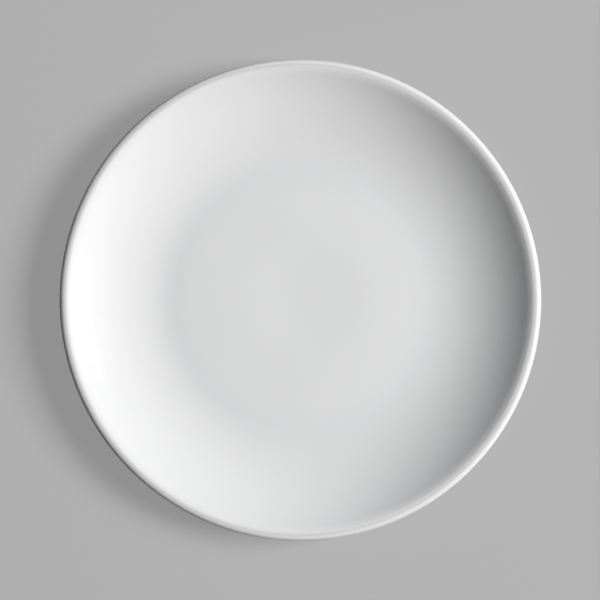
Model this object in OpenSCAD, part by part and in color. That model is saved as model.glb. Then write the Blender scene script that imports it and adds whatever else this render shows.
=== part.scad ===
// Coupe dinner plate: a rimless plate whose face curves up from a shallow well to a rolled lip.
// Every solid is one revolved section. The sizes are those of the finished, glazed plate,
// and the clay lies one glaze thickness below each glazed surface.
// Millimetres, +Z up, origin at the middle of the foot ring on the table.

/* [Plate] */
// Diameter over the outside of the lip
plate_d = 267; // [235:1:305]
// Height of the lip above the table
plate_h = 26; // [20:0.5:34]
// Diameter of the well, where the curve of the wall starts
well_d = 142; // [115:1:175]
// Height of the well's dome above its edge, before the dimple
well_crown = 1; // [0:0.1:2]
// Diameter of the dimple, the faint hollow in the middle of the dome
dimple_d = 88; // [40:1:110]
// Depth of the dimple
dimple_depth = 0.9; // [0:0.05:1.5]

/* [Lip] */
// Radius of the outer edge of the lip
lip_r = 3.3; // [2.5:0.1:4]
// Radius of the roll, the tight bend of the face next to the lip's crest
roll_r = 4.5; // [4:0.5:9]
// Radius of the ease, the gentler bend in which the wall's face turns over into the roll
ease_r = 21; // [10:1:40]
// Slope at which the ease becomes the roll, as a share of the wall's steepest slope
ease_share = 0.75; // [0.5:0.05:0.9]
// Radius of the hollow under the lip, where it thins into the wall
tuck_r = 24; // [8:1:40]

/* [Walls] */
// Thickness of the floor over the foot ring's recess
floor_t = 4.8; // [4:0.1:7]
// Thickness of the wall between the foot ring and the lip
wall_t = 4.6; // [3.8:0.1:5.8]

/* [Foot ring] */
// How far the outer edge of the foot ring stands outside the well
foot_reach = 8; // [2:0.5:12]
// Width of the foot ring on the table, before its edges are eased
foot_w = 3.6; // [2.5:0.1:6]
// Depth of the recess inside the foot ring
foot_h = 2.2; // [1.8:0.1:4]
// Slant of the foot ring's sides from upright, in degrees
foot_slant = 20; // [5:1:35]
// Radius on the foot ring's two edges
foot_edge_r = 0.6; // [0.2:0.1:0.9]
// Radius of the fillets where the foot ring grows out of the plate
foot_root_r = 1.2; // [0.6:0.1:1.6]

/* [Glaze] */
// Thickness of the glaze
glaze_t = 0.35; // [0.2:0.05:0.6]
// Width of the bare clay on each side of the foot ring, above its eased edge
bare_w = 0.4; // [0.2:0.05:0.6]

/* [Quality] */
// Largest distance between a curve and the chords that draw it
chord_gap = 0.01; // [0.005:0.005:0.05]

/* [Hidden] */
$fn = 180;

clay_color = "#ebe6da";
glaze_color = "#f5f6f6";

// Face: the wall's arc leaves the edge of the well's dome along its tangent, and touches the
// ease at the steepest point of the face, which is about twice as steep as the wall's chord.
well_r = well_d / 2;
well_edge = [well_r, foot_h + floor_t];
crest_r = plate_d / 2 - lip_r;
roll_center = [crest_r, plate_h - roll_r];
lip_center = [crest_r, plate_h - lip_r];
ease_slope = 2 * ease_share * heading(well_edge, [crest_r, plate_h]);
ease_center = roll_center + polar(ease_r - roll_r, ease_slope - 90);
dome_slope = atan(2 * well_crown / well_r);
wall_up = polar(1, 90 - dome_slope);
wall_span = well_edge - ease_center;
wall_r = (wall_span * wall_span - ease_r * ease_r) / (2 * (ease_r - wall_span * wall_up));
wall_center = well_edge + wall_r * wall_up;
face_slope = 90 + heading(wall_center, ease_center);

// Back: the hollow under the lip touches both the lip and the back of the wall.
back_r = wall_r + wall_t;
lip_turn = triangle_angle(back_r + tuck_r, norm(lip_center - wall_center), lip_r + tuck_r);
back_top = heading(wall_center, lip_center) - lip_turn;
tuck_center = wall_center + polar(back_r + tuck_r, back_top);
lip_end = heading(lip_center, tuck_center);

// Foot ring: directions square to its slanted sides, and up along them.
foot_r = well_r + foot_reach;
foot_in_r = foot_r - foot_w;
side_out = polar(1, -foot_slant);
side_in = polar(1, 180 + foot_slant);
side_up = polar(1, 90 - foot_slant);
side_up_in = polar(1, 90 + foot_slant);
edge_inset = foot_edge_r * (1 - sin(foot_slant)) / cos(foot_slant);
bare_out = [foot_r, 0] + (edge_inset + bare_w) * side_up;
bare_in = [foot_in_r, 0] + (edge_inset + bare_w) * side_up_in;

// Outer fillet of the foot ring: it touches the slanted side and the back of the wall.
root_r = min(foot_root_r, root_room(well_edge.y - wall_t));
root_line = [foot_r, 0] + (glaze_t + root_r) * side_out - wall_center;
root_lift = line_to_circle(root_line, side_up, back_r + root_r);
root_center = wall_center + root_line + root_lift * side_up;
back_bottom = heading(wall_center, root_center);

// Inner fillet: it touches the slanted side and the floor of the recess.
recess_root_r = min(foot_root_r, root_room(foot_h));
recess_z = foot_h - recess_root_r;
recess_inset = (glaze_t + recess_root_r + recess_z * sin(foot_slant)) / cos(foot_slant);
recess_center = [foot_in_r - recess_inset, recess_z];

function polar(r, angle) = r * [cos(angle), sin(angle)];
function heading(from, to) = atan2(to.y - from.y, to.x - from.x);
function reverse(path) = [for (i = [len(path) - 1 : -1 : 0]) path[i]];

// Angle between sides a and b of a triangle whose third side is c.
function triangle_angle(a, b, c) = acos((a * a + b * b - c * c) / (2 * a * b));

// How far from start, going along dir, a line first meets a circle of radius r round the origin.
function line_to_circle(start, dir, r) =
    let (along = start * dir)
    -along - sqrt(along * along - start * start + r * r);

// Largest fillet on a foot side of height h that leaves room below it for the glaze to end.
function root_room(h) =
    let (side = (h + glaze_t * sin(foot_slant)) / cos(foot_slant))
    (side - edge_inset - bare_w - glaze_t) / tan(45 - foot_slant / 2);

// Points of an arc, in steps that keep each chord within chord_gap of the curve.
// The first point is left out, because the piece of outline before it ends there.
function arc(center, r, from, to) =
    let (steps = ceil(abs(to - from) / (2 * acos(1 - chord_gap / r))))
    [for (i = [1 : steps]) center + polar(r, from + (to - from) * i / steps)];

// Height of the well's surface above its edge: a parabolic dome, less a dimple that is level at
// its middle and at its edge.
function dome(r) = well_crown * (1 - pow(r / well_r, 2));
function dimple(r) = 2 * r < dimple_d ? dimple_depth * (1 + cos(360 * r / dimple_d)) / 2 : 0;
well_steps = 24;

// Outline of the plate from the middle of the well, round the lip to the outside of the foot ring.
// Depth is how far below the glazed surface it runs.
function outer_skin(depth) = concat(
    [for (i = [0 : well_steps])
        let (r = well_r * i / well_steps)
        [r, well_edge.y + dome(r) - dimple(r) - depth]],
    arc(wall_center, wall_r + depth, 270 - dome_slope, 270 + face_slope),
    arc(ease_center, ease_r - depth, 90 + face_slope, 90 + ease_slope),
    arc(roll_center, roll_r - depth, 90 + ease_slope, 90),
    arc(lip_center, lip_r - depth, 90, lip_end),
    arc(tuck_center, tuck_r + depth, lip_end + 180, back_top + 180),
    arc(wall_center, back_r - depth, back_top, back_bottom),
    arc(root_center, root_r + depth, back_bottom + 180, 180 - foot_slant));

// Outline of the underside, from the inside of the foot ring to the middle of the recess.
function inner_skin(depth) = concat(
    [recess_center + polar(recess_root_r + depth, foot_slant)],
    arc(recess_center, recess_root_r + depth, foot_slant, 90),
    [[0, foot_h + depth]]);

// Bare clay of the foot ring, from its outer side across the table to its inner side.
function foot_outline() = concat(
    [bare_out],
    [[foot_r, 0] + edge_inset * side_up],
    arc([foot_r - edge_inset, foot_edge_r], foot_edge_r, -foot_slant, -90),
    [[foot_in_r + edge_inset, 0]],
    arc([foot_in_r + edge_inset, foot_edge_r], foot_edge_r, -90, foot_slant - 180),
    [bare_in]);

// Rounded end of a glaze coat that runs down a side of the foot ring and stops at the bare clay.
function glaze_end(bare, up, out) =
    let (center = bare + glaze_t * up, from = heading([0, 0], out), turn = out.x > 0 ? -90 : 90)
    concat([center + glaze_t * out], arc(center, glaze_t, from, from + turn));

module clay_body() {
    color(clay_color)
        rotate_extrude()
            polygon(concat(outer_skin(glaze_t), foot_outline(), inner_skin(glaze_t)));
}

module glaze_coat() {
    color(glaze_color)
        rotate_extrude()
            polygon(concat(
                outer_skin(0),
                glaze_end(bare_out, side_up, side_out),
                reverse(outer_skin(glaze_t))));
}

module base_glaze() {
    color(glaze_color)
        rotate_extrude()
            polygon(concat(
                reverse(inner_skin(0)),
                glaze_end(bare_in, side_up_in, side_in),
                inner_skin(glaze_t)));
}

clay_body();
glaze_coat();
base_glaze();
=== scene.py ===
"""Looks of a coupe dinner plate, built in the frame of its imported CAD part.

The plate is three pieces of revolution that lie face to face: the fired clay body, the glaze coat over
the face, the lip and the outside, and the base glaze inside the foot ring. One section holds them all.
It is worked out from the plate's sizes as arcs that share tangents, and a Geometry Nodes lathe turns
each piece's outline about +Z.

Lengths are metres and angles are radians, unless a name says otherwise.
"""

import logging
import math
from abc import ABC, abstractmethod
from dataclasses import dataclass, field
from enum import Enum, auto
from functools import cached_property
from typing import Any, ClassVar, Mapping, Optional, Sequence, Union

import bmesh
import bpy
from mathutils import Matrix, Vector

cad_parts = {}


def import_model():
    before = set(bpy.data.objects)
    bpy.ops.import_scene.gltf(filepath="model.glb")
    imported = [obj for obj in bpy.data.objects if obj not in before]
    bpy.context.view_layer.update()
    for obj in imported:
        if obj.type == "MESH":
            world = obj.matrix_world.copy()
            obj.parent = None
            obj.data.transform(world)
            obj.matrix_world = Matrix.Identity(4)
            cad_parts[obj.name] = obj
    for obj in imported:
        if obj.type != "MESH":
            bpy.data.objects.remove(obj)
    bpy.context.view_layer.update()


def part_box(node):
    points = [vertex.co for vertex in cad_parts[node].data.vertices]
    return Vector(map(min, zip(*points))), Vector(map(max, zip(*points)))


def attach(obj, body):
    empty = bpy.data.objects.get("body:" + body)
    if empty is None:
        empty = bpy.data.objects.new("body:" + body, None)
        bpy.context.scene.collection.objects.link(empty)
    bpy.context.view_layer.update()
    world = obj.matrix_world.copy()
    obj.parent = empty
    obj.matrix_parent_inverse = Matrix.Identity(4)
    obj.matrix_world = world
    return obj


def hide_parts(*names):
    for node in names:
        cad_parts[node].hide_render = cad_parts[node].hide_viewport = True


LOG = logging.getLogger("coupe_plate")
MM = 0.001

Colour = tuple[float, float, float]
Feed = Union["Wire", float, int, bool, Sequence[float], bpy.types.ID]


# Node trees


class Wire:
    """An output socket that can be used in arithmetic, which adds Math nodes to its tree."""

    def __init__(self, graph: "Graph", socket: Optional[bpy.types.NodeSocket]) -> None:
        """Keep the socket, if the node has one, and the graph that it belongs to."""
        self.graph = graph
        self.socket = socket

    def __add__(self, other: Feed) -> "Wire":
        """Sum."""
        return self.graph.math("ADD", self, other)

    def __radd__(self, other: Feed) -> "Wire":
        """Sum, with the number first."""
        return self.graph.math("ADD", other, self)

    def __sub__(self, other: Feed) -> "Wire":
        """Difference."""
        return self.graph.math("SUBTRACT", self, other)

    def __rsub__(self, other: Feed) -> "Wire":
        """Difference, with the number first."""
        return self.graph.math("SUBTRACT", other, self)

    def __mul__(self, other: Feed) -> "Wire":
        """Product."""
        return self.graph.math("MULTIPLY", self, other)

    def __rmul__(self, other: Feed) -> "Wire":
        """Product, with the number first."""
        return self.graph.math("MULTIPLY", other, self)

    def __truediv__(self, other: Feed) -> "Wire":
        """Quotient."""
        return self.graph.math("DIVIDE", self, other)

    def __rtruediv__(self, other: Feed) -> "Wire":
        """Quotient, with the number first."""
        return self.graph.math("DIVIDE", other, self)

    def __abs__(self) -> "Wire":
        """Size without its sign."""
        return self.graph.math("ABSOLUTE", self)

    def step(self, low: float, high: float) -> "Wire":
        """Ease from 0 at low to 1 at high. Low may be the larger of the two.

        Args:
            low: Value at which the step starts.
            high: Value at which it ends.

        Returns:
            The eased value.
        """
        if low > high:
            return 1 - self.step(high, low)
        settings = {"interpolation_type": "SMOOTHSTEP"}
        feeds = {"Value": self, "From Min": low, "From Max": high}
        return self.graph.node("ShaderNodeMapRange", settings, feeds)

    def beside(self, output: str) -> "Wire":
        """Another output of the same node, by its name."""
        return Wire(self.graph, self.socket.node.outputs[output])


@dataclass(frozen=True)
class Ripple:
    """Smooth noise of one size.

    Attributes:
        per_metre: Number of swells in a metre.
        layers: Number of finer layers.
        height: How high it stands, where it is relief.
    """

    per_metre: float
    layers: float
    height: float = 0.0


class Graph:
    """Adds nodes to one shader, world or geometry tree."""

    def __init__(self, tree: bpy.types.NodeTree) -> None:
        """Start the tree empty."""
        tree.nodes.clear()
        self.tree = tree

    def node(
        self,
        kind: str,
        settings: Optional[Mapping[str, Any]] = None,
        feeds: Optional[Mapping[str, Feed]] = None,
        output: Optional[str] = None,
    ) -> Wire:
        """Add one node.

        Args:
            kind: The node's type.
            settings: Its own properties, which are set first because they change its sockets.
            feeds: A value or a wire for each socket, by identifier or name.
            output: Identifier or name of the output, or None for the first.

        Returns:
            The output, or a wire without a socket where the node has none.
        """
        made = self.tree.nodes.new(kind)
        for name, setting in (settings or {}).items():
            setattr(made, name, setting)
        for name, feed in (feeds or {}).items():
            socket = self._socket(made.inputs, name)
            if isinstance(feed, Wire):
                self.tree.links.new(feed.socket, socket)
            else:
                socket.default_value = feed
        if not made.outputs:
            return Wire(self, None)
        return Wire(self, self._socket(made.outputs, output) if output else made.outputs[0])

    @staticmethod
    def _socket(sockets: Sequence[bpy.types.NodeSocket], name: str) -> bpy.types.NodeSocket:
        """Find a socket by its identifier or else by its name."""
        named = [s for s in sockets if s.identifier == name] + [s for s in sockets if s.name == name]
        return named[0]

    def math(self, operation: str, first: Feed, second: Feed = 0.0) -> Wire:
        """Add a Math node."""
        feeds = {"Value": first, "Value_001": second}
        return self.node("ShaderNodeMath", {"operation": operation}, feeds)

    def mix(self, factor: Feed, first: Feed, second: Feed) -> Wire:
        """Mix two colours, where the factor is the share of the second."""
        feeds = {"Factor_Float": factor, "A_Color": self.colour(first), "B_Color": self.colour(second)}
        return self.node("ShaderNodeMix", {"data_type": "RGBA"}, feeds, "Result_Color")

    @staticmethod
    def colour(feed: Feed) -> Feed:
        """Give a plain colour the alpha that a colour socket needs."""
        return feed if isinstance(feed, Wire) else (*feed, 1.0)

    def noise(self, place: Wire, ripple: Ripple) -> Wire:
        """Add noise over a place in space. It is about 0.5 on average."""
        feeds = {"Vector": place, "Scale": ripple.per_metre, "Detail": ripple.layers}
        return self.node("ShaderNodeTexNoise", None, feeds)

    def rings(self, radius: Wire, ripple: Ripple) -> Wire:
        """Add noise that changes with the radius alone, so that it draws rings."""
        feeds = {"W": radius, "Scale": ripple.per_metre, "Detail": ripple.layers}
        return self.node("ShaderNodeTexNoise", {"noise_dimensions": "1D"}, feeds)

    def bump(self, height: Wire) -> Wire:
        """Turn a height in metres into a normal."""
        return self.node("ShaderNodeBump", None, {"Distance": 1.0, "Height": height})

    def seen(self) -> tuple[Wire, Wire]:
        """Tell what is seen from what only gives light.

        Returns:
            1 for what the camera sees straight or through glass, and 1 for what it sees in a gloss.
        """
        straight = self.node("ShaderNodeLightPath", output="Is Camera Ray")
        through = straight.beside("Is Transmission Ray")
        return self.math("MAXIMUM", straight, through), straight.beside("Is Glossy Ray")


@dataclass(frozen=True)
class Place:
    """Coordinates of a point or a direction, with its distance from the plate's axis."""

    point: Wire
    x: Wire
    y: Wire
    z: Wire
    radius: Wire

    @classmethod
    def of(cls, graph: Graph, point: Wire) -> "Place":
        """Take a point apart.

        Args:
            graph: Tree to add the nodes to.
            point: The point.

        Returns:
            The point's parts.
        """
        x = graph.node("ShaderNodeSeparateXYZ", None, {"Vector": point})
        y, z = x.beside("Y"), x.beside("Z")
        flat = graph.node("ShaderNodeCombineXYZ", None, {"X": x, "Y": y})
        radius = graph.node("ShaderNodeVectorMath", {"operation": "LENGTH"}, {"Vector": flat}, "Value")
        return cls(point, x, y, z, radius)

    @classmethod
    def on_object(cls, graph: Graph) -> "Place":
        """Read the Object coordinates."""
        return cls.of(graph, graph.node("ShaderNodeTexCoord", output="Object"))


# Section of the plate


def polar(radius: float, angle: float) -> Vector:
    """Vector of that length and heading in the section's plane."""
    return Vector((radius * math.cos(angle), radius * math.sin(angle)))


def heading(start: Vector, end: Vector) -> float:
    """Heading from one point to another."""
    return math.atan2(end.y - start.y, end.x - start.x)


def triangle_angle(a: float, b: float, c: float) -> float:
    """Angle between sides a and b of a triangle whose third side is c."""
    return math.acos((a * a + b * b - c * c) / (2 * a * b))


def line_to_circle(start: Vector, along: Vector, radius: float) -> float:
    """Distance from start, along a unit vector, to the first point on a circle round the origin."""
    reach = start.dot(along)
    return -reach - math.sqrt(reach * reach - start.dot(start) + radius * radius)


class Bend(Enum):
    """Which way a stretch of the surface bends. The value is how its radius changes with depth."""

    HOLLOW = 1
    ROUND = -1


@dataclass(frozen=True)
class Arc:
    """A round stretch of the section. Start and end are headings from its centre."""

    center: Vector
    radius: float
    start: float
    end: float
    bend: Bend

    def points(self, depth: float, chord_gap: float) -> list[Vector]:
        """Points along the arc, without the first, at which the stretch before it ends.

        Args:
            depth: How far below the surface to go.
            chord_gap: Largest distance between the arc and the chords that draw it.

        Returns:
            The points.
        """
        radius = self.radius + self.bend.value * depth
        turn = self.end - self.start
        steps = math.ceil(abs(turn) / (2 * math.acos(1 - chord_gap / radius)))
        return [self.center + polar(radius, self.start + turn * i / steps) for i in range(1, steps + 1)]


@dataclass(frozen=True)
class PlateSection:
    """Section of the finished, glazed plate, from the axis outwards. Points are (radius, height).

    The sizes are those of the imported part, under the same names. Only its steps are finer here.
    """

    plate_d: float
    plate_h: float
    well_d: float = 142 * MM
    well_crown: float = 1.0 * MM
    dimple_d: float = 88 * MM
    dimple_depth: float = 0.9 * MM
    lip_r: float = 3.3 * MM
    roll_r: float = 4.5 * MM
    ease_r: float = 21 * MM
    ease_share: float = 0.75
    tuck_r: float = 24 * MM
    floor_t: float = 4.8 * MM
    wall_t: float = 4.6 * MM
    foot_reach: float = 8 * MM
    foot_w: float = 3.6 * MM
    foot_h: float = 2.2 * MM
    foot_slant: float = math.radians(20)
    foot_edge_r: float = 0.6 * MM
    foot_root_r: float = 1.2 * MM
    glaze_t: float = 0.35 * MM
    bare_w: float = 0.4 * MM
    chord_gap: float = 0.002 * MM
    well_steps: int = 48

    @classmethod
    def from_frame(cls) -> "PlateSection":
        """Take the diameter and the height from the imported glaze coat."""
        low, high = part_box("glaze_coat")
        return cls(plate_d=high.x - low.x, plate_h=high.z)

    @cached_property
    def well_edge(self) -> Vector:
        """Point where the well ends and the wall's arc starts."""
        return Vector((self.well_d / 2, self.foot_h + self.floor_t))

    @cached_property
    def low_ring_r(self) -> float:
        """Radius of the lowest ring of the face."""
        return self.wall.center.x

    @cached_property
    def foot_r(self) -> float:
        """Outer radius of the foot ring, before its edge is eased."""
        return self.well_d / 2 + self.foot_reach

    @cached_property
    def foot_in_r(self) -> float:
        """Inner radius of the foot ring, before its edge is eased."""
        return self.foot_r - self.foot_w

    @cached_property
    def side_out(self) -> Vector:
        """Direction out of the outer side of the foot ring."""
        return polar(1, -self.foot_slant)

    @cached_property
    def side_in(self) -> Vector:
        """Direction out of the inner side of the foot ring, towards the axis."""
        return polar(1, math.pi + self.foot_slant)

    @cached_property
    def side_up(self) -> Vector:
        """Direction up along the outer side of the foot ring."""
        return polar(1, math.pi / 2 - self.foot_slant)

    @cached_property
    def side_up_in(self) -> Vector:
        """Direction up along the inner side of the foot ring."""
        return polar(1, math.pi / 2 + self.foot_slant)

    @cached_property
    def edge_inset(self) -> float:
        """How far the eased edge of the foot ring reaches along its sides."""
        return self.foot_edge_r * (1 - math.sin(self.foot_slant)) / math.cos(self.foot_slant)

    @cached_property
    def glaze_line_z(self) -> float:
        """Height at which both coats end on the sides of the foot ring."""
        return (self.edge_inset + self.bare_w) * math.cos(self.foot_slant)

    @cached_property
    def lip_center(self) -> Vector:
        """Centre of the lip's outer edge."""
        return Vector((self.plate_d / 2 - self.lip_r, self.plate_h - self.lip_r))

    @cached_property
    def ease_slope(self) -> float:
        """Slope at which the ease becomes the roll. The steepest slope is about twice the chord's."""
        crest = Vector((self.lip_center.x, self.plate_h))
        return 2 * self.ease_share * heading(self.well_edge, crest)

    @cached_property
    def roll(self) -> Arc:
        """Tight bend of the face next to the lip's crest, from the ease to the crest."""
        center = Vector((self.lip_center.x, self.plate_h - self.roll_r))
        return Arc(center, self.roll_r, math.pi / 2 + self.ease_slope, math.pi / 2, Bend.ROUND)

    @cached_property
    def ease_center(self) -> Vector:
        """Centre of the bend in which the wall's face turns over into the roll."""
        return self.roll.center + polar(self.ease_r - self.roll_r, self.roll.start - math.pi)

    @cached_property
    def wall(self) -> Arc:
        """Face of the wall, which leaves the well along its tangent and touches the ease.

        Returns:
            The arc, from the edge of the well to the steepest point of the face.
        """
        dome_slope = math.atan(2 * self.well_crown / self.well_edge.x)
        up = polar(1, math.pi / 2 - dome_slope)
        span = self.well_edge - self.ease_center
        radius = (span.dot(span) - self.ease_r**2) / (2 * (self.ease_r - span.dot(up)))
        center = self.well_edge + radius * up
        steepest = heading(center, self.ease_center)
        return Arc(center, radius, -math.pi / 2 - dome_slope, steepest, Bend.HOLLOW)

    @cached_property
    def ease(self) -> Arc:
        """Gentle bend from the steepest point of the face to the roll."""
        return Arc(self.ease_center, self.ease_r, self.wall.end + math.pi, self.roll.start, Bend.ROUND)

    @cached_property
    def back_r(self) -> float:
        """Radius of the back of the wall."""
        return self.wall.radius + self.wall_t

    @cached_property
    def tuck(self) -> Arc:
        """Hollow under the lip, which touches the lip and the back of the wall.

        Returns:
            The hollow, from the lip down.
        """
        reach = self.back_r + self.tuck_r
        span = self.lip_center - self.wall.center
        turn = triangle_angle(reach, span.length, self.lip_r + self.tuck_r)
        back_top = heading(self.wall.center, self.lip_center) - turn
        center = self.wall.center + polar(reach, back_top)
        lip_side = heading(center, self.lip_center)
        return Arc(center, self.tuck_r, lip_side, back_top + math.pi, Bend.HOLLOW)

    @cached_property
    def lip(self) -> Arc:
        """Outer edge of the lip, from its crest round to the hollow under it."""
        return Arc(self.lip_center, self.lip_r, math.pi / 2, self.tuck.start - math.pi, Bend.ROUND)

    @cached_property
    def back(self) -> Arc:
        """Back of the wall, from the hollow under the lip to the foot ring."""
        bottom = heading(self.wall.center, self.root.center)
        return Arc(self.wall.center, self.back_r, self.tuck.end - math.pi, bottom, Bend.ROUND)

    @cached_property
    def root(self) -> Arc:
        """Fillet between the back of the wall and the outside of the foot ring.

        Returns:
            The fillet, from the wall down.
        """
        radius = min(self.foot_root_r, self._root_room(self.well_edge.y - self.wall_t))
        line = Vector((self.foot_r, 0)) + (self.glaze_t + radius) * self.side_out - self.wall.center
        lift = line_to_circle(line, self.side_up, self.back_r + radius)
        center = self.wall.center + line + lift * self.side_up
        top = heading(center, self.wall.center)
        return Arc(center, radius, top, math.pi - self.foot_slant, Bend.HOLLOW)

    @cached_property
    def recess(self) -> Arc:
        """Fillet between the inside of the foot ring and the floor of its recess.

        Returns:
            The fillet, from the foot ring up.
        """
        radius = min(self.foot_root_r, self._root_room(self.foot_h))
        height = self.foot_h - radius
        inset = self.glaze_t + radius + height * math.sin(self.foot_slant)
        center = Vector((self.foot_in_r - inset / math.cos(self.foot_slant), height))
        return Arc(center, radius, self.foot_slant, math.pi / 2, Bend.HOLLOW)

    def _root_room(self, height: float) -> float:
        """Largest fillet on a side of the foot ring that leaves room for the glaze to end.

        Args:
            height: Height of the side.

        Returns:
            The fillet's radius.
        """
        side = (height + self.glaze_t * math.sin(self.foot_slant)) / math.cos(self.foot_slant)
        room = side - self.edge_inset - self.bare_w - self.glaze_t
        return room / math.tan(math.pi / 4 - self.foot_slant / 2)

    def well_height(self, radius: float) -> float:
        """Height of the well's surface: a parabolic dome, less a dimple in its middle.

        Args:
            radius: Distance from the axis.

        Returns:
            The height above the table.
        """
        dome = self.well_crown * (1 - (radius / self.well_edge.x) ** 2)
        share = min(1.0, 2 * radius / self.dimple_d)
        dimple = self.dimple_depth * (1 + math.cos(math.pi * share)) / 2
        return self.well_edge.y + dome - dimple

    def outer_skin(self, depth: float) -> list[Vector]:
        """Outline from the middle of the well, round the lip, to the outside of the foot ring.

        Args:
            depth: How far below the glazed surface it runs.

        Returns:
            The points.
        """
        radii = [self.well_edge.x * i / self.well_steps for i in range(self.well_steps + 1)]
        path = [Vector((r, self.well_height(r) - depth)) for r in radii]
        for arc in (self.wall, self.ease, self.roll, self.lip, self.tuck, self.back, self.root):
            path += arc.points(depth, self.chord_gap)
        return path

    def inner_skin(self, depth: float) -> list[Vector]:
        """Outline from the inside of the foot ring to the middle of the recess.

        Args:
            depth: How far below the glazed surface it runs.

        Returns:
            The points.
        """
        radius = self.recess.radius + depth
        start = self.recess.center + polar(radius, self.recess.start)
        radii = [self.recess.center.x * i / self.well_steps for i in reversed(range(self.well_steps))]
        floor = [Vector((r, self.foot_h + depth)) for r in radii]
        return [start, *self.recess.points(depth, self.chord_gap), *floor]

    def foot_outline(self) -> list[Vector]:
        """Bare clay of the foot ring, from its outer side across the table to its inner side.

        Returns:
            The points.
        """
        slant, inset, edge_r = self.foot_slant, self.edge_inset, self.foot_edge_r
        outer_foot, inner_foot = Vector((self.foot_r, 0)), Vector((self.foot_in_r, 0))
        outer_center = Vector((self.foot_r - inset, edge_r))
        inner_center = Vector((self.foot_in_r + inset, edge_r))
        outer_edge = Arc(outer_center, edge_r, -slant, -math.pi / 2, Bend.ROUND)
        inner_edge = Arc(inner_center, edge_r, -math.pi / 2, slant - math.pi, Bend.ROUND)
        return [
            outer_foot + (inset + self.bare_w) * self.side_up,
            outer_foot + inset * self.side_up,
            *outer_edge.points(0, self.chord_gap),
            Vector((inner_center.x, 0)),
            *inner_edge.points(0, self.chord_gap),
            inner_foot + (inset + self.bare_w) * self.side_up_in,
        ]

    def glaze_end(self, foot: Vector, up: Vector, out: Vector) -> list[Vector]:
        """Rounded end of a coat that runs down a side of the foot ring.

        Args:
            foot: Point where that side meets the table, before its edge is eased.
            up: Direction up along the side.
            out: Direction out of it.

        Returns:
            The points, from the coat's surface to the clay.
        """
        center = foot + (self.edge_inset + self.bare_w + self.glaze_t) * up
        start = math.atan2(out.y, out.x)
        turn = -math.pi / 2 if out.x > 0 else math.pi / 2
        end = Arc(center, self.glaze_t, start, start + turn, Bend.ROUND)
        return [center + self.glaze_t * out, *end.points(0, self.chord_gap)]


# Lathe


@dataclass(frozen=True)
class WipedEdge:
    """How unevenly a coat was wiped back from the foot ring.

    Attributes:
        wave: How far the edge of the coat strays up or down the side of the foot ring.
        lean: How far the side leans outwards for each metre that it rises.
        bottom: Height at which the coat ends.
        seed: Picks the waves.
        top: Height above which the coat is even.
        per_metre: Number of waves in a metre.
    """

    wave: float = 0.0
    lean: float = 0.0
    bottom: float = 0.0
    seed: int = 0
    top: float = 1.6 * MM
    per_metre: float = 55.0


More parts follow.
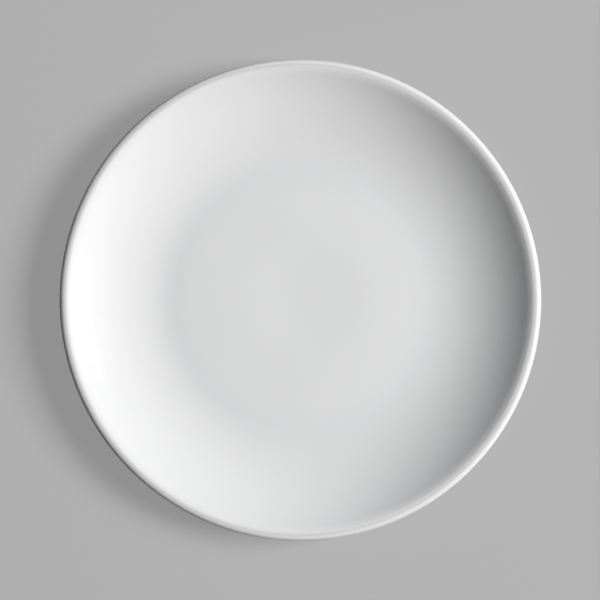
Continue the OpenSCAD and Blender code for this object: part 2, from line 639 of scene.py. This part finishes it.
@dataclass
class Lathe:
    """Geometry Nodes tree that turns an outline in the XZ plane about +Z.

    Attributes:
        path_radius: Radius of the circle that the outline is swept along.
        sides: Number of faces round the axis.
        merge_distance: Points nearer than this, as those on the axis, become one.
        crease_angle: Bend at which an edge stays sharp.
        graph: The tree.
    """

    path_radius: float
    sides: int = 208
    merge_distance: float = 0.001 * MM
    crease_angle: float = math.radians(50)
    graph: Graph = field(init=False)

    MODIFIER: ClassVar[str] = "lathe"
    INPUTS: ClassVar[dict[str, str]] = {
        "Section": "NodeSocketGeometry",
        "Sides": "NodeSocketInt",
        "Path Radius": "NodeSocketFloat",
        "Merge Distance": "NodeSocketFloat",
        "Crease Angle": "NodeSocketFloat",
        "Wipe Wave": "NodeSocketFloat",
        "Wipe Bottom": "NodeSocketFloat",
        "Wipe Top": "NodeSocketFloat",
        "Wipe Lean": "NodeSocketFloat",
        "Wipe Waves per Metre": "NodeSocketFloat",
        "Seed": "NodeSocketInt",
        "Material": "NodeSocketMaterial",
    }

    def __post_init__(self) -> None:
        """Build the tree."""
        tree = bpy.data.node_groups.new("turn_section", "GeometryNodeTree")
        for name, kind in self.INPUTS.items():
            tree.interface.new_socket(name, in_out="INPUT", socket_type=kind)
        tree.interface.new_socket("Mesh", in_out="OUTPUT", socket_type="NodeSocketGeometry")
        self.graph = Graph(tree)
        self._wire()

    def _input(self, name: str) -> Wire:
        """One of the tree's own inputs."""
        return self.graph.node("NodeGroupInput", output=name)

    def _wire(self) -> None:
        """Sweep the outline round the axis, close its poles and finish the mesh."""
        add = self.graph.node
        mesh = self._wiped(self._swept())
        smooth = add("GeometryNodeSetShadeSmooth", None, {"Geometry": mesh})
        angle = add("GeometryNodeInputMeshEdgeAngle", output="Unsigned Angle")
        crease = self.graph.math("GREATER_THAN", angle, self._input("Crease Angle"))
        creased = add(
            "GeometryNodeSetShadeSmooth",
            {"domain": "EDGE"},
            {"Geometry": smooth, "Selection": crease, "Shade Smooth": False},
        )
        real = add("GeometryNodeRealizeInstances", None, {"Geometry": creased})
        finish = {"Geometry": real, "Material": self._input("Material")}
        dressed = add("GeometryNodeSetMaterial", None, finish)
        add("NodeGroupOutput", None, {"Mesh": dressed})

    def _swept(self) -> Wire:
        """Sweep the outline along a circle and merge the points that meet on the axis.

        Returns:
            The closed mesh.
        """
        add = self.graph.node
        path_radius = self._input("Path Radius")
        profile = add("GeometryNodeMeshToCurve", None, {"Mesh": self._input("Section")})
        inwards = add("ShaderNodeCombineXYZ", None, {"X": 0.0 - path_radius})
        centred = add("GeometryNodeTransform", None, {"Geometry": profile, "Translation": inwards})
        laid = add("GeometryNodeTransform", None, {"Geometry": centred, "Rotation": (math.pi / 2, 0, 0)})
        circle = add(
            "GeometryNodeCurvePrimitiveCircle",
            {"mode": "RADIUS"},
            {"Resolution": self._input("Sides"), "Radius": path_radius},
        )
        upright = add("GeometryNodeSetCurveNormal", {"mode": "Z_UP"}, {"Curve": circle})
        swept = add("GeometryNodeCurveToMesh", None, {"Curve": upright, "Profile Curve": laid})
        merge = {"Geometry": swept, "Distance": self._input("Merge Distance")}
        return add("GeometryNodeMergeByDistance", None, merge)

    def _wiped(self, mesh: Wire) -> Wire:
        """Let the end of a coat stray along the side of the foot ring.

        Args:
            mesh: The turned piece.

        Returns:
            The piece with its uneven end.
        """
        add = self.graph.node
        place = Place.of(self.graph, add("GeometryNodeInputPosition"))
        ramp = {
            "Value": place.z,
            "From Min": self._input("Wipe Bottom"),
            "From Max": self._input("Wipe Top"),
            "To Min": 1.0,
            "To Max": 0.0,
        }
        near_end = add("ShaderNodeMapRange", {"interpolation_type": "SMOOTHSTEP"}, ramp)
        waves = {
            "Vector": place.point,
            "W": self._input("Seed"),
            "Scale": self._input("Wipe Waves per Metre"),
        }
        noise = add("ShaderNodeTexNoise", {"noise_dimensions": "4D"}, waves)
        rise = (2 * noise - 1) * near_end * self._input("Wipe Wave")
        outwards = rise * self._input("Wipe Lean") / place.radius
        parts = {"X": place.x * outwards, "Y": place.y * outwards, "Z": rise}
        offset = add("ShaderNodeCombineXYZ", None, parts)
        return add("GeometryNodeSetPosition", None, {"Geometry": mesh, "Offset": offset})

    def turn(
        self,
        name: str,
        outline: Sequence[Vector],
        material: bpy.types.Material,
        wiped: WipedEdge,
    ) -> bpy.types.Object:
        """Turn one outline into a closed mesh.

        Args:
            name: Name of the piece.
            outline: Points (radius, height) from the axis back to the axis.
            material: The piece's finish.
            wiped: How its edge on the foot ring strays.

        Returns:
            The piece, as a plain mesh at the origin.
        """
        section = bpy.data.meshes.new(f"{name}_section")
        steps = [(i, i + 1) for i in range(len(outline) - 1)]
        section.from_pydata([(p.x, 0, p.y) for p in outline], steps, [])
        piece = bpy.data.objects.new(name, section)
        bpy.context.scene.collection.objects.link(piece)
        modifier = piece.modifiers.new(self.MODIFIER, "NODES")
        modifier.node_group = self.graph.tree
        values = {
            "Sides": self.sides,
            "Path Radius": self.path_radius,
            "Merge Distance": self.merge_distance,
            "Crease Angle": self.crease_angle,
            "Wipe Wave": wiped.wave,
            "Wipe Bottom": wiped.bottom,
            "Wipe Top": wiped.top,
            "Wipe Lean": wiped.lean,
            "Wipe Waves per Metre": wiped.per_metre,
            "Seed": wiped.seed,
            "Material": material,
        }
        for item in self.graph.tree.interface.items_tree:
            if item.name in values:
                modifier[item.identifier] = values[item.name]
        turned = piece.evaluated_get(bpy.context.evaluated_depsgraph_get())
        piece.data = bpy.data.meshes.new_from_object(turned)
        piece.data.name = name
        piece.modifiers.remove(modifier)
        bpy.data.meshes.remove(section)
        self._face_outwards(piece.data)
        return piece

    @staticmethod
    def _face_outwards(mesh: bpy.types.Mesh) -> None:
        """Turn every face of a closed mesh outwards.

        Args:
            mesh: The mesh.
        """
        edit = bmesh.new()
        edit.from_mesh(mesh)
        bmesh.ops.recalc_face_normals(edit, faces=edit.faces)
        edit.to_mesh(mesh)
        edit.free()


# Finishes


class Finish(ABC):
    """A procedural surface."""

    NAME: ClassVar[str]

    def material(self) -> bpy.types.Material:
        """Make the material.

        Returns:
            The material.
        """
        material = bpy.data.materials.new(self.NAME)
        material.use_nodes = True
        graph = Graph(material.node_tree)
        surface = self.surface(graph, Place.on_object(graph))
        graph.node("ShaderNodeOutputMaterial", None, {"Surface": surface})
        return material

    @abstractmethod
    def surface(self, graph: Graph, place: Place) -> Wire:
        """Wire the shader.

        Args:
            graph: The material's tree.
            place: Where the shaded point is.

        Returns:
            The shader's output.
        """


@dataclass(frozen=True)
class WhiteGlaze(Finish):
    """Glossy white glaze, a little cooler where it pools and darker along the lip's crest, partly where
    it thins and partly painted shade.

    Attributes:
        section: The plate that it dresses.
        low: Darkest tone of its clouds.
        high: Palest tone of its clouds.
        pooled: Tone in the lowest ring of the face, where it pools.
        thin_and_shade: Tone along the lip's crest, partly where the glaze thins and the clay shows
            through, partly painted shade on the crest.
        ior: Refractive index.
        pool_half_width: How far the pool reaches to each side.
        thin_and_shade_half_width: How far the line of thin glaze and painted shade reaches to each side
            of the crest.
        thin_and_shade_least: Smallest share of the thin and shaded tone there.
        thin_and_shade_spread: How much that share varies.
        polish: Roughness of its smoothest spots.
        polish_spread: How much rougher the others are.
        clouds: Size of the clouds.
        thinning_and_shade: Size of the spots that vary the thin glaze and the painted shade on the
            crest.
        smears: Size of the rougher spots.
        swell: Slow waves of the surface.
        peel: Fine waves of the surface.
        tool_marks: Rings in the clay that show through the coat on the underside.
    """

    NAME: ClassVar[str] = "glossy_white_glaze"
    section: PlateSection
    low: Colour = (0.757, 0.757, 0.757)
    high: Colour = (0.774, 0.774, 0.774)
    pooled: Colour = (0.738, 0.744, 0.748)
    thin_and_shade: Colour = (0.670, 0.668, 0.653)
    ior: float = 1.5
    pool_half_width: float = 16 * MM
    thin_and_shade_half_width: float = 1.2 * MM
    thin_and_shade_least: float = 0.6
    thin_and_shade_spread: float = 0.6
    polish: float = 0.075
    polish_spread: float = 0.05
    clouds: Ripple = Ripple(per_metre=28.0, layers=3.0)
    thinning_and_shade: Ripple = Ripple(per_metre=90.0, layers=2.0)
    smears: Ripple = Ripple(per_metre=60.0, layers=4.0)
    swell: Ripple = Ripple(per_metre=22.0, layers=1.0, height=0.012 * MM)
    peel: Ripple = Ripple(per_metre=520.0, layers=1.0, height=0.0006 * MM)
    tool_marks: Ripple = Ripple(per_metre=420.0, layers=3.0, height=0.002 * MM)

    def surface(self, graph: Graph, place: Place) -> Wire:
        """Wire the glaze.

        Args:
            graph: The material's tree.
            place: Where the shaded point is.

        Returns:
            The shader's output.
        """
        smears = graph.noise(place.point, self.smears)
        feeds = {
            "Base Color": self._colour(graph, place),
            "Roughness": self.polish + self.polish_spread * smears,
            "IOR": self.ior,
            "Normal": graph.bump(self._relief(graph, place)),
        }
        return graph.node("ShaderNodeBsdfPrincipled", None, feeds)

    def _colour(self, graph: Graph, place: Place) -> Wire:
        """Colour of the glaze.

        Args:
            graph: The material's tree.
            place: Where the shaded point is.

        Returns:
            The colour.
        """
        section = self.section
        cloudy = graph.mix(graph.noise(place.point, self.clouds), self.low, self.high)
        pool = abs(place.radius - section.low_ring_r).step(self.pool_half_width, 0.0)
        # Darker tone on the top of the lip's crest: partly the glaze thinning there, partly painted
        # shade.
        crest = abs(place.radius - section.lip_center.x).step(self.thin_and_shade_half_width, 0.0)
        top = place.z.step(section.lip_center.y, section.plate_h)
        spots = self.thin_and_shade_least + self.thin_and_shade_spread * graph.noise(place.point, self.thinning_and_shade)
        thin_and_shade = crest * top * spots
        return graph.mix(thin_and_shade, graph.mix(pool, cloudy, self.pooled), self.thin_and_shade)

    def _relief(self, graph: Graph, place: Place) -> Wire:
        """Height of the glaze's fine relief.

        Args:
            graph: The material's tree.
            place: Where the shaded point is.

        Returns:
            The height.
        """
        section = self.section
        swell = graph.noise(place.point, self.swell) * self.swell.height
        peel = graph.noise(place.point, self.peel) * self.peel.height
        underside = place.z.step(section.foot_h + section.glaze_t, section.foot_h)
        rings = graph.rings(place.radius, self.tool_marks) * underside * self.tool_marks.height
        return swell + peel + rings


@dataclass(frozen=True)
class BareClay(Finish):
    """Fired, unglazed clay: matt and grainy, ground smooth where it stands on the table.

    Attributes:
        section: The plate that it dresses.
        dark: Tone of its darkest grains.
        pale: Tone of its palest grains.
        scuff: Tone of the marks that a table leaves.
        roughness: Roughness of the clay as fired.
        ground_polish: How much smoother the grinding makes it.
        ground_off: Share of the grain's height that the grinding takes off.
        grain_share: Weight of the grain in its tone.
        patch_share: Weight of the patches in its tone.
        groove_share: Weight of the grinding grooves in its tone.
        scuff_share: Strength of the marks.
        scuff_start: Noise at which a mark starts.
        scuff_end: Noise at which it has its full strength.
        grain: Size of the grain.
        patches: Size of the patches.
        grooves: Rings that the grinding leaves.
        scuffs: Size of the marks.
    """

    NAME: ClassVar[str] = "unglazed_clay"
    section: PlateSection
    dark: Colour = (0.700, 0.650, 0.570)
    pale: Colour = (0.800, 0.765, 0.700)
    scuff: Colour = (0.480, 0.470, 0.455)
    roughness: float = 0.88
    ground_polish: float = 0.22
    ground_off: float = 0.6
    grain_share: float = 0.55
    patch_share: float = 0.3
    groove_share: float = 0.15
    scuff_share: float = 0.7
    scuff_start: float = 0.56
    scuff_end: float = 0.70
    grain: Ripple = Ripple(per_metre=2600.0, layers=3.0, height=0.012 * MM)
    patches: Ripple = Ripple(per_metre=140.0, layers=3.0)
    grooves: Ripple = Ripple(per_metre=5200.0, layers=2.0, height=0.006 * MM)
    scuffs: Ripple = Ripple(per_metre=210.0, layers=4.0)

    def surface(self, graph: Graph, place: Place) -> Wire:
        """Wire the clay.

        Args:
            graph: The material's tree.
            place: Where the shaded point is.

        Returns:
            The shader's output.
        """
        grain = graph.noise(place.point, self.grain)
        patches = graph.noise(place.point, self.patches)
        ground = place.z.step(self.section.foot_edge_r / 2, 0.0)
        grooves = graph.rings(place.radius, self.grooves) * ground
        tone = self.grain_share * grain + self.patch_share * patches + self.groove_share * grooves
        scuffs = graph.noise(place.point, self.scuffs).step(self.scuff_start, self.scuff_end)
        marks = scuffs * grooves * self.scuff_share
        raised = grain * self.grain.height * (1 - self.ground_off * ground)
        feeds = {
            "Base Color": graph.mix(marks, graph.mix(tone, self.dark, self.pale), self.scuff),
            "Roughness": self.roughness - self.ground_polish * grooves,
            "Normal": graph.bump(raised + grooves * self.grooves.height),
        }
        return graph.node("ShaderNodeBsdfPrincipled", None, feeds)


@dataclass(frozen=True)
class PaleFloor(Finish):
    """Plain matt floor that fades into the background away from the plate.

    Attributes:
        backdrop: Brightness of the background and of the floor far away.
        colour: Colour of the floor, which the lamps light near the plate.
        haze: Share of the background in what the camera sees of the floor near the plate.
        fade_start: Distance at which the floor starts to fade into the background.
        fade_end: Distance at which it has become the background.
    """

    NAME: ClassVar[str] = "pale_floor"
    backdrop: Colour
    colour: Colour = (0.46, 0.46, 0.46)
    haze: float = 0.6
    fade_start: float = 0.3
    fade_end: float = 1.1

    def surface(self, graph: Graph, place: Place) -> Wire:
        """Wire the floor.

        Args:
            graph: The material's tree.
            place: Where the shaded point is.

        Returns:
            The shader's output.
        """
        lit = graph.node("ShaderNodeBsdfDiffuse", None, {"Color": graph.colour(self.colour)})
        glow = graph.node("ShaderNodeEmission", None, {"Color": graph.colour(self.backdrop)})
        far = graph.math("MAXIMUM", place.radius.step(self.fade_start, self.fade_end), self.haze)
        faded = far * graph.math("MAXIMUM", *graph.seen())
        feeds = {"Fac": faded, "Shader": lit, "Shader_001": glow}
        return graph.node("ShaderNodeMixShader", None, feeds)


# Pieces of the plate


@dataclass(frozen=True)
class PlatePiece(ABC):
    """One piece of the plate, which stands for the CAD node that its class names.

    Attributes:
        section: The plate that it is part of.
        material: Its finish.
        wiped: How its edge on the foot ring strays.
    """

    NAME: ClassVar[str]
    NODE: ClassVar[str]
    SLOT: ClassVar[str]
    section: PlateSection
    material: bpy.types.Material
    wiped: WipedEdge = WipedEdge()

    @abstractmethod
    def outline(self) -> list[Vector]:
        """Section of the piece.

        Returns:
            The points, from the axis back to the axis.
        """

    def build(self, lathe: Lathe) -> bpy.types.Object:
        """Turn, dress and place the piece.

        Args:
            lathe: Turns the outline.

        Returns:
            The finished piece.
        """
        piece = lathe.turn(self.NAME, self.outline(), self.material, self.wiped)
        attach(piece, "root")
        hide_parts(self.NODE)
        return piece


class ClayBody(PlatePiece):
    """The fired clay, with the foot ring that stays bare."""

    NAME = "fired_clay"
    NODE = "clay_body"
    SLOT = "bare_clay"

    def outline(self) -> list[Vector]:
        """Section of the piece, from the axis back to the axis."""
        section, depth = self.section, self.section.glaze_t
        return [*section.outer_skin(depth), *section.foot_outline(), *section.inner_skin(depth)]


class GlazeCoat(PlatePiece):
    """The coat over the face, round the lip and down the outside to the foot ring."""

    NAME = "face_glaze"
    NODE = "glaze_coat"
    SLOT = "white_glaze"

    def outline(self) -> list[Vector]:
        """Section of the piece.

        Returns:
            The points, from the axis back to the axis.
        """
        section = self.section
        foot = Vector((section.foot_r, 0))
        end = section.glaze_end(foot, section.side_up, section.side_out)
        return [*section.outer_skin(0), *end, *reversed(section.outer_skin(section.glaze_t))]


class BaseGlaze(PlatePiece):
    """The coat inside the foot ring."""

    NAME = "recess_glaze"
    NODE = "base_glaze"
    SLOT = "white_glaze"

    def outline(self) -> list[Vector]:
        """Section of the piece.

        Returns:
            The points, from the axis back to the axis.
        """
        section = self.section
        foot = Vector((section.foot_in_r, 0))
        end = section.glaze_end(foot, section.side_up_in, section.side_in)
        return [*reversed(section.inner_skin(0)), *end, *section.inner_skin(section.glaze_t)]


# Studio


def aim(polar_deg: float, azimuth_deg: float) -> Vector:
    """Direction at that angle from +Z, turned that far from +X towards +Y."""
    flat = polar(math.sin(math.radians(polar_deg)), math.radians(azimuth_deg))
    return Vector((flat.x, flat.y, math.cos(math.radians(polar_deg))))


def hang(data: bpy.types.ID, location: Vector, away: Vector) -> bpy.types.Object:
    """Put a lamp or a camera into the scene.

    Args:
        data: The lamp or the camera.
        location: Where it goes.
        away: Direction to it from what it faces.

    Returns:
        Its object.
    """
    hung = bpy.data.objects.new(data.name, data)
    hung.location = location
    hung.rotation_mode = "QUATERNION"
    hung.rotation_quaternion = (-away).to_track_quat("-Z", "Y")
    bpy.context.scene.collection.objects.link(hung)
    return hung


class LampRole(Enum):
    """What a lamp is there for: to light the plate, or to show in its gloss."""

    LIGHT = auto()
    GLOSS = auto()


@dataclass(frozen=True)
class Scrim:
    """A large soft lamp that faces the plate.

    Attributes:
        name: Name of the lamp.
        role: Whether it lights the plate or shows in its gloss.
        radiance: Brightness of its face, where 1 is that of a white surface.
        width: Size along the floor.
        height: Size across that.
        polar_deg: Angle from +Z to the lamp.
        azimuth_deg: Angle from +X towards +Y.
        distance: From the plate to the lamp.
        colour: Colour of its light.
    """

    name: str
    role: LampRole
    radiance: float
    width: float
    height: float
    polar_deg: float
    azimuth_deg: float
    distance: float
    colour: Colour = (1.0, 1.0, 1.0)

    def build(self) -> None:
        """Hang the lamp and aim it at the plate."""
        lamp = bpy.data.lights.new(self.name, "AREA")
        lamp.shape = "RECTANGLE"
        lamp.size = self.width
        lamp.size_y = self.height
        lamp.energy = self.radiance * math.pi * self.width * self.height
        lamp.color = self.colour
        away = aim(self.polar_deg, self.azimuth_deg)
        hung = hang(lamp, away * self.distance, away)
        hung.visible_camera = False
        hung.visible_glossy = self.role is LampRole.GLOSS
        hung.visible_diffuse = self.role is LampRole.LIGHT


@dataclass(frozen=True)
class PhotoCamera:
    """Camera that frames the plate as the photograph does.

    Attributes:
        lens_mm: Focal length.
        elevation_deg: Height of the camera above the table, seen from the plate.
        picture_px: Side of the square picture.
        plate_radius_px: Radius of the plate's outline in it.
        plate_center_px: Middle of that outline, from the picture's upper left corner.
    """

    lens_mm: float = 105.0
    elevation_deg: float = 88.0
    picture_px: float = 600.0
    plate_radius_px: float = 240.85
    plate_center_px: tuple[float, float] = (300.3, 298.95)

    def build(self, section: PlateSection) -> None:
        """Place the camera over the plate and make it the scene's own.

        Args:
            section: The plate that it frames.
        """
        data = bpy.data.cameras.new("photo_camera")
        data.lens = self.lens_mm
        per_px = section.plate_d / 2 / self.plate_radius_px
        distance = per_px * self.picture_px * self.lens_mm / data.sensor_width
        elevation = math.radians(self.elevation_deg)
        away = Vector((0, -math.cos(elevation), math.sin(elevation)))
        middle = self.picture_px / 2
        aside = per_px * (middle - self.plate_center_px[0])
        below = per_px * (self.plate_center_px[1] - middle)
        target = Vector((aside, below, section.lip_center.y))
        bpy.context.scene.camera = hang(data, target + away * distance, away)


@dataclass(frozen=True)
class Studio:
    """Plain pale floor before an even background, with soft lamps, panels for the gloss and the camera.

    Attributes:
        floor_radius: Radius of the floor.
        floor_sides: Number of sides that draw its round edge.
        backdrop: Brightness of the background and of the floor far away.
        fill: Dim light that comes from all round.
        walls: Brightness, in the gloss, of the studio's walls before and behind the plate.
        wall_rise: Y part of a direction where those walls start, and where they are fully bright.
        wall_fall: X part of a direction where they start to fade, and where they end.
        scrims: The lamps: a key, a faint cool one, and four panels that only the gloss shows.
        camera: The camera.
    """

    floor_radius: float = 8.0
    floor_sides: int = 96
    backdrop: Colour = (0.465, 0.463, 0.462)
    fill: Colour = (0.004, 0.004, 0.004)
    walls: Colour = (1.4, 1.4, 1.4)
    wall_rise: tuple[float, float] = (0.2, 0.9)
    wall_fall: tuple[float, float] = (0.1, 0.6)
    scrims: tuple[Scrim, ...] = (
        Scrim(
            "key_scrim", LampRole.LIGHT, radiance=28.1, width=2.4, height=2.4,
            polar_deg=49.0, azimuth_deg=4.0, distance=6.0,
        ),
        Scrim(
            "cool_scrim", LampRole.LIGHT, radiance=0.22, width=2.0, height=2.0,
            polar_deg=70.0, azimuth_deg=115.0, distance=3.0, colour=(0.5, 0.9, 1.2),
        ),
        Scrim(
            "gloss_scrim", LampRole.GLOSS, radiance=1.4, width=0.46, height=0.85,
            polar_deg=60.0, azimuth_deg=-1.0, distance=2.4,
        ),
        Scrim(
            "gloss_strip", LampRole.GLOSS, radiance=1.2, width=0.76, height=0.2,
            polar_deg=52.5, azimuth_deg=14.0, distance=2.4,
        ),
        Scrim(
            "front_bank", LampRole.GLOSS, radiance=0.95, width=2.2, height=0.5,
            polar_deg=77.0, azimuth_deg=-45.0, distance=2.6,
        ),
        Scrim(
            "rear_bank", LampRole.GLOSS, radiance=0.95, width=2.2, height=0.6,
            polar_deg=74.0, azimuth_deg=135.0, distance=2.6,
        ),
    )
    camera: PhotoCamera = PhotoCamera()

    def build(self, section: PlateSection) -> None:
        """Make the floor, the light and the camera.

        Args:
            section: The plate that the camera frames.
        """
        self._floor()
        self._world()
        for scrim in self.scrims:
            scrim.build()
        self.camera.build(section)
        bpy.context.scene.view_settings.view_transform = "Standard"

    def _floor(self) -> None:
        """Lay the floor that the plate stands on."""
        mesh = bpy.data.meshes.new("floor")
        edit = bmesh.new()
        bmesh.ops.create_circle(edit, cap_ends=True, segments=self.floor_sides, radius=self.floor_radius)
        edit.to_mesh(mesh)
        edit.free()
        mesh.materials.append(PaleFloor(self.backdrop).material())
        floor = bpy.data.objects.new("floor", mesh)
        bpy.context.scene.collection.objects.link(floor)

    def _world(self) -> None:
        """Give a dim light from all round, and show the background past the floor and in the gloss."""
        world = bpy.data.worlds.new("studio")
        world.use_nodes = True
        bpy.context.scene.world = world
        graph = Graph(world.node_tree)
        way = Place.of(graph, graph.node("ShaderNodeTexCoord", output="Generated"))
        facing = abs(way.y).step(*self.wall_rise) * (1 - abs(way.x).step(*self.wall_fall))
        mirrored = graph.mix(facing, self.backdrop, self.walls)
        straight, gloss = graph.seen()
        colour = graph.mix(straight, graph.mix(gloss, self.fill, mirrored), self.backdrop)
        surface = graph.node("ShaderNodeBackground", None, {"Color": colour})
        graph.node("ShaderNodeOutputWorld", None, {"Surface": surface})


def main() -> None:
    """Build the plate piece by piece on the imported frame, then the studio round it."""
    logging.basicConfig(level=logging.INFO, format="%(name)s: %(message)s")
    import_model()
    section = PlateSection.from_frame()
    lathe = Lathe(path_radius=section.plate_d / 2)
    bottom, lean = section.glaze_line_z, math.tan(section.foot_slant)
    glaze = WhiteGlaze(section).material()
    pieces = (
        ClayBody(section, BareClay(section).material()),
        GlazeCoat(section, glaze, WipedEdge(wave=0.12 * MM, lean=lean, bottom=bottom, seed=3)),
        BaseGlaze(section, glaze, WipedEdge(wave=0.10 * MM, lean=-lean, bottom=bottom, seed=8)),
    )
    for piece in pieces:
        built = piece.build(lathe)
        LOG.info("%s: %d faces for %s", built.name, len(built.data.polygons), piece.NODE)
    Studio().build(section)


if __name__ == "__main__":
    main()
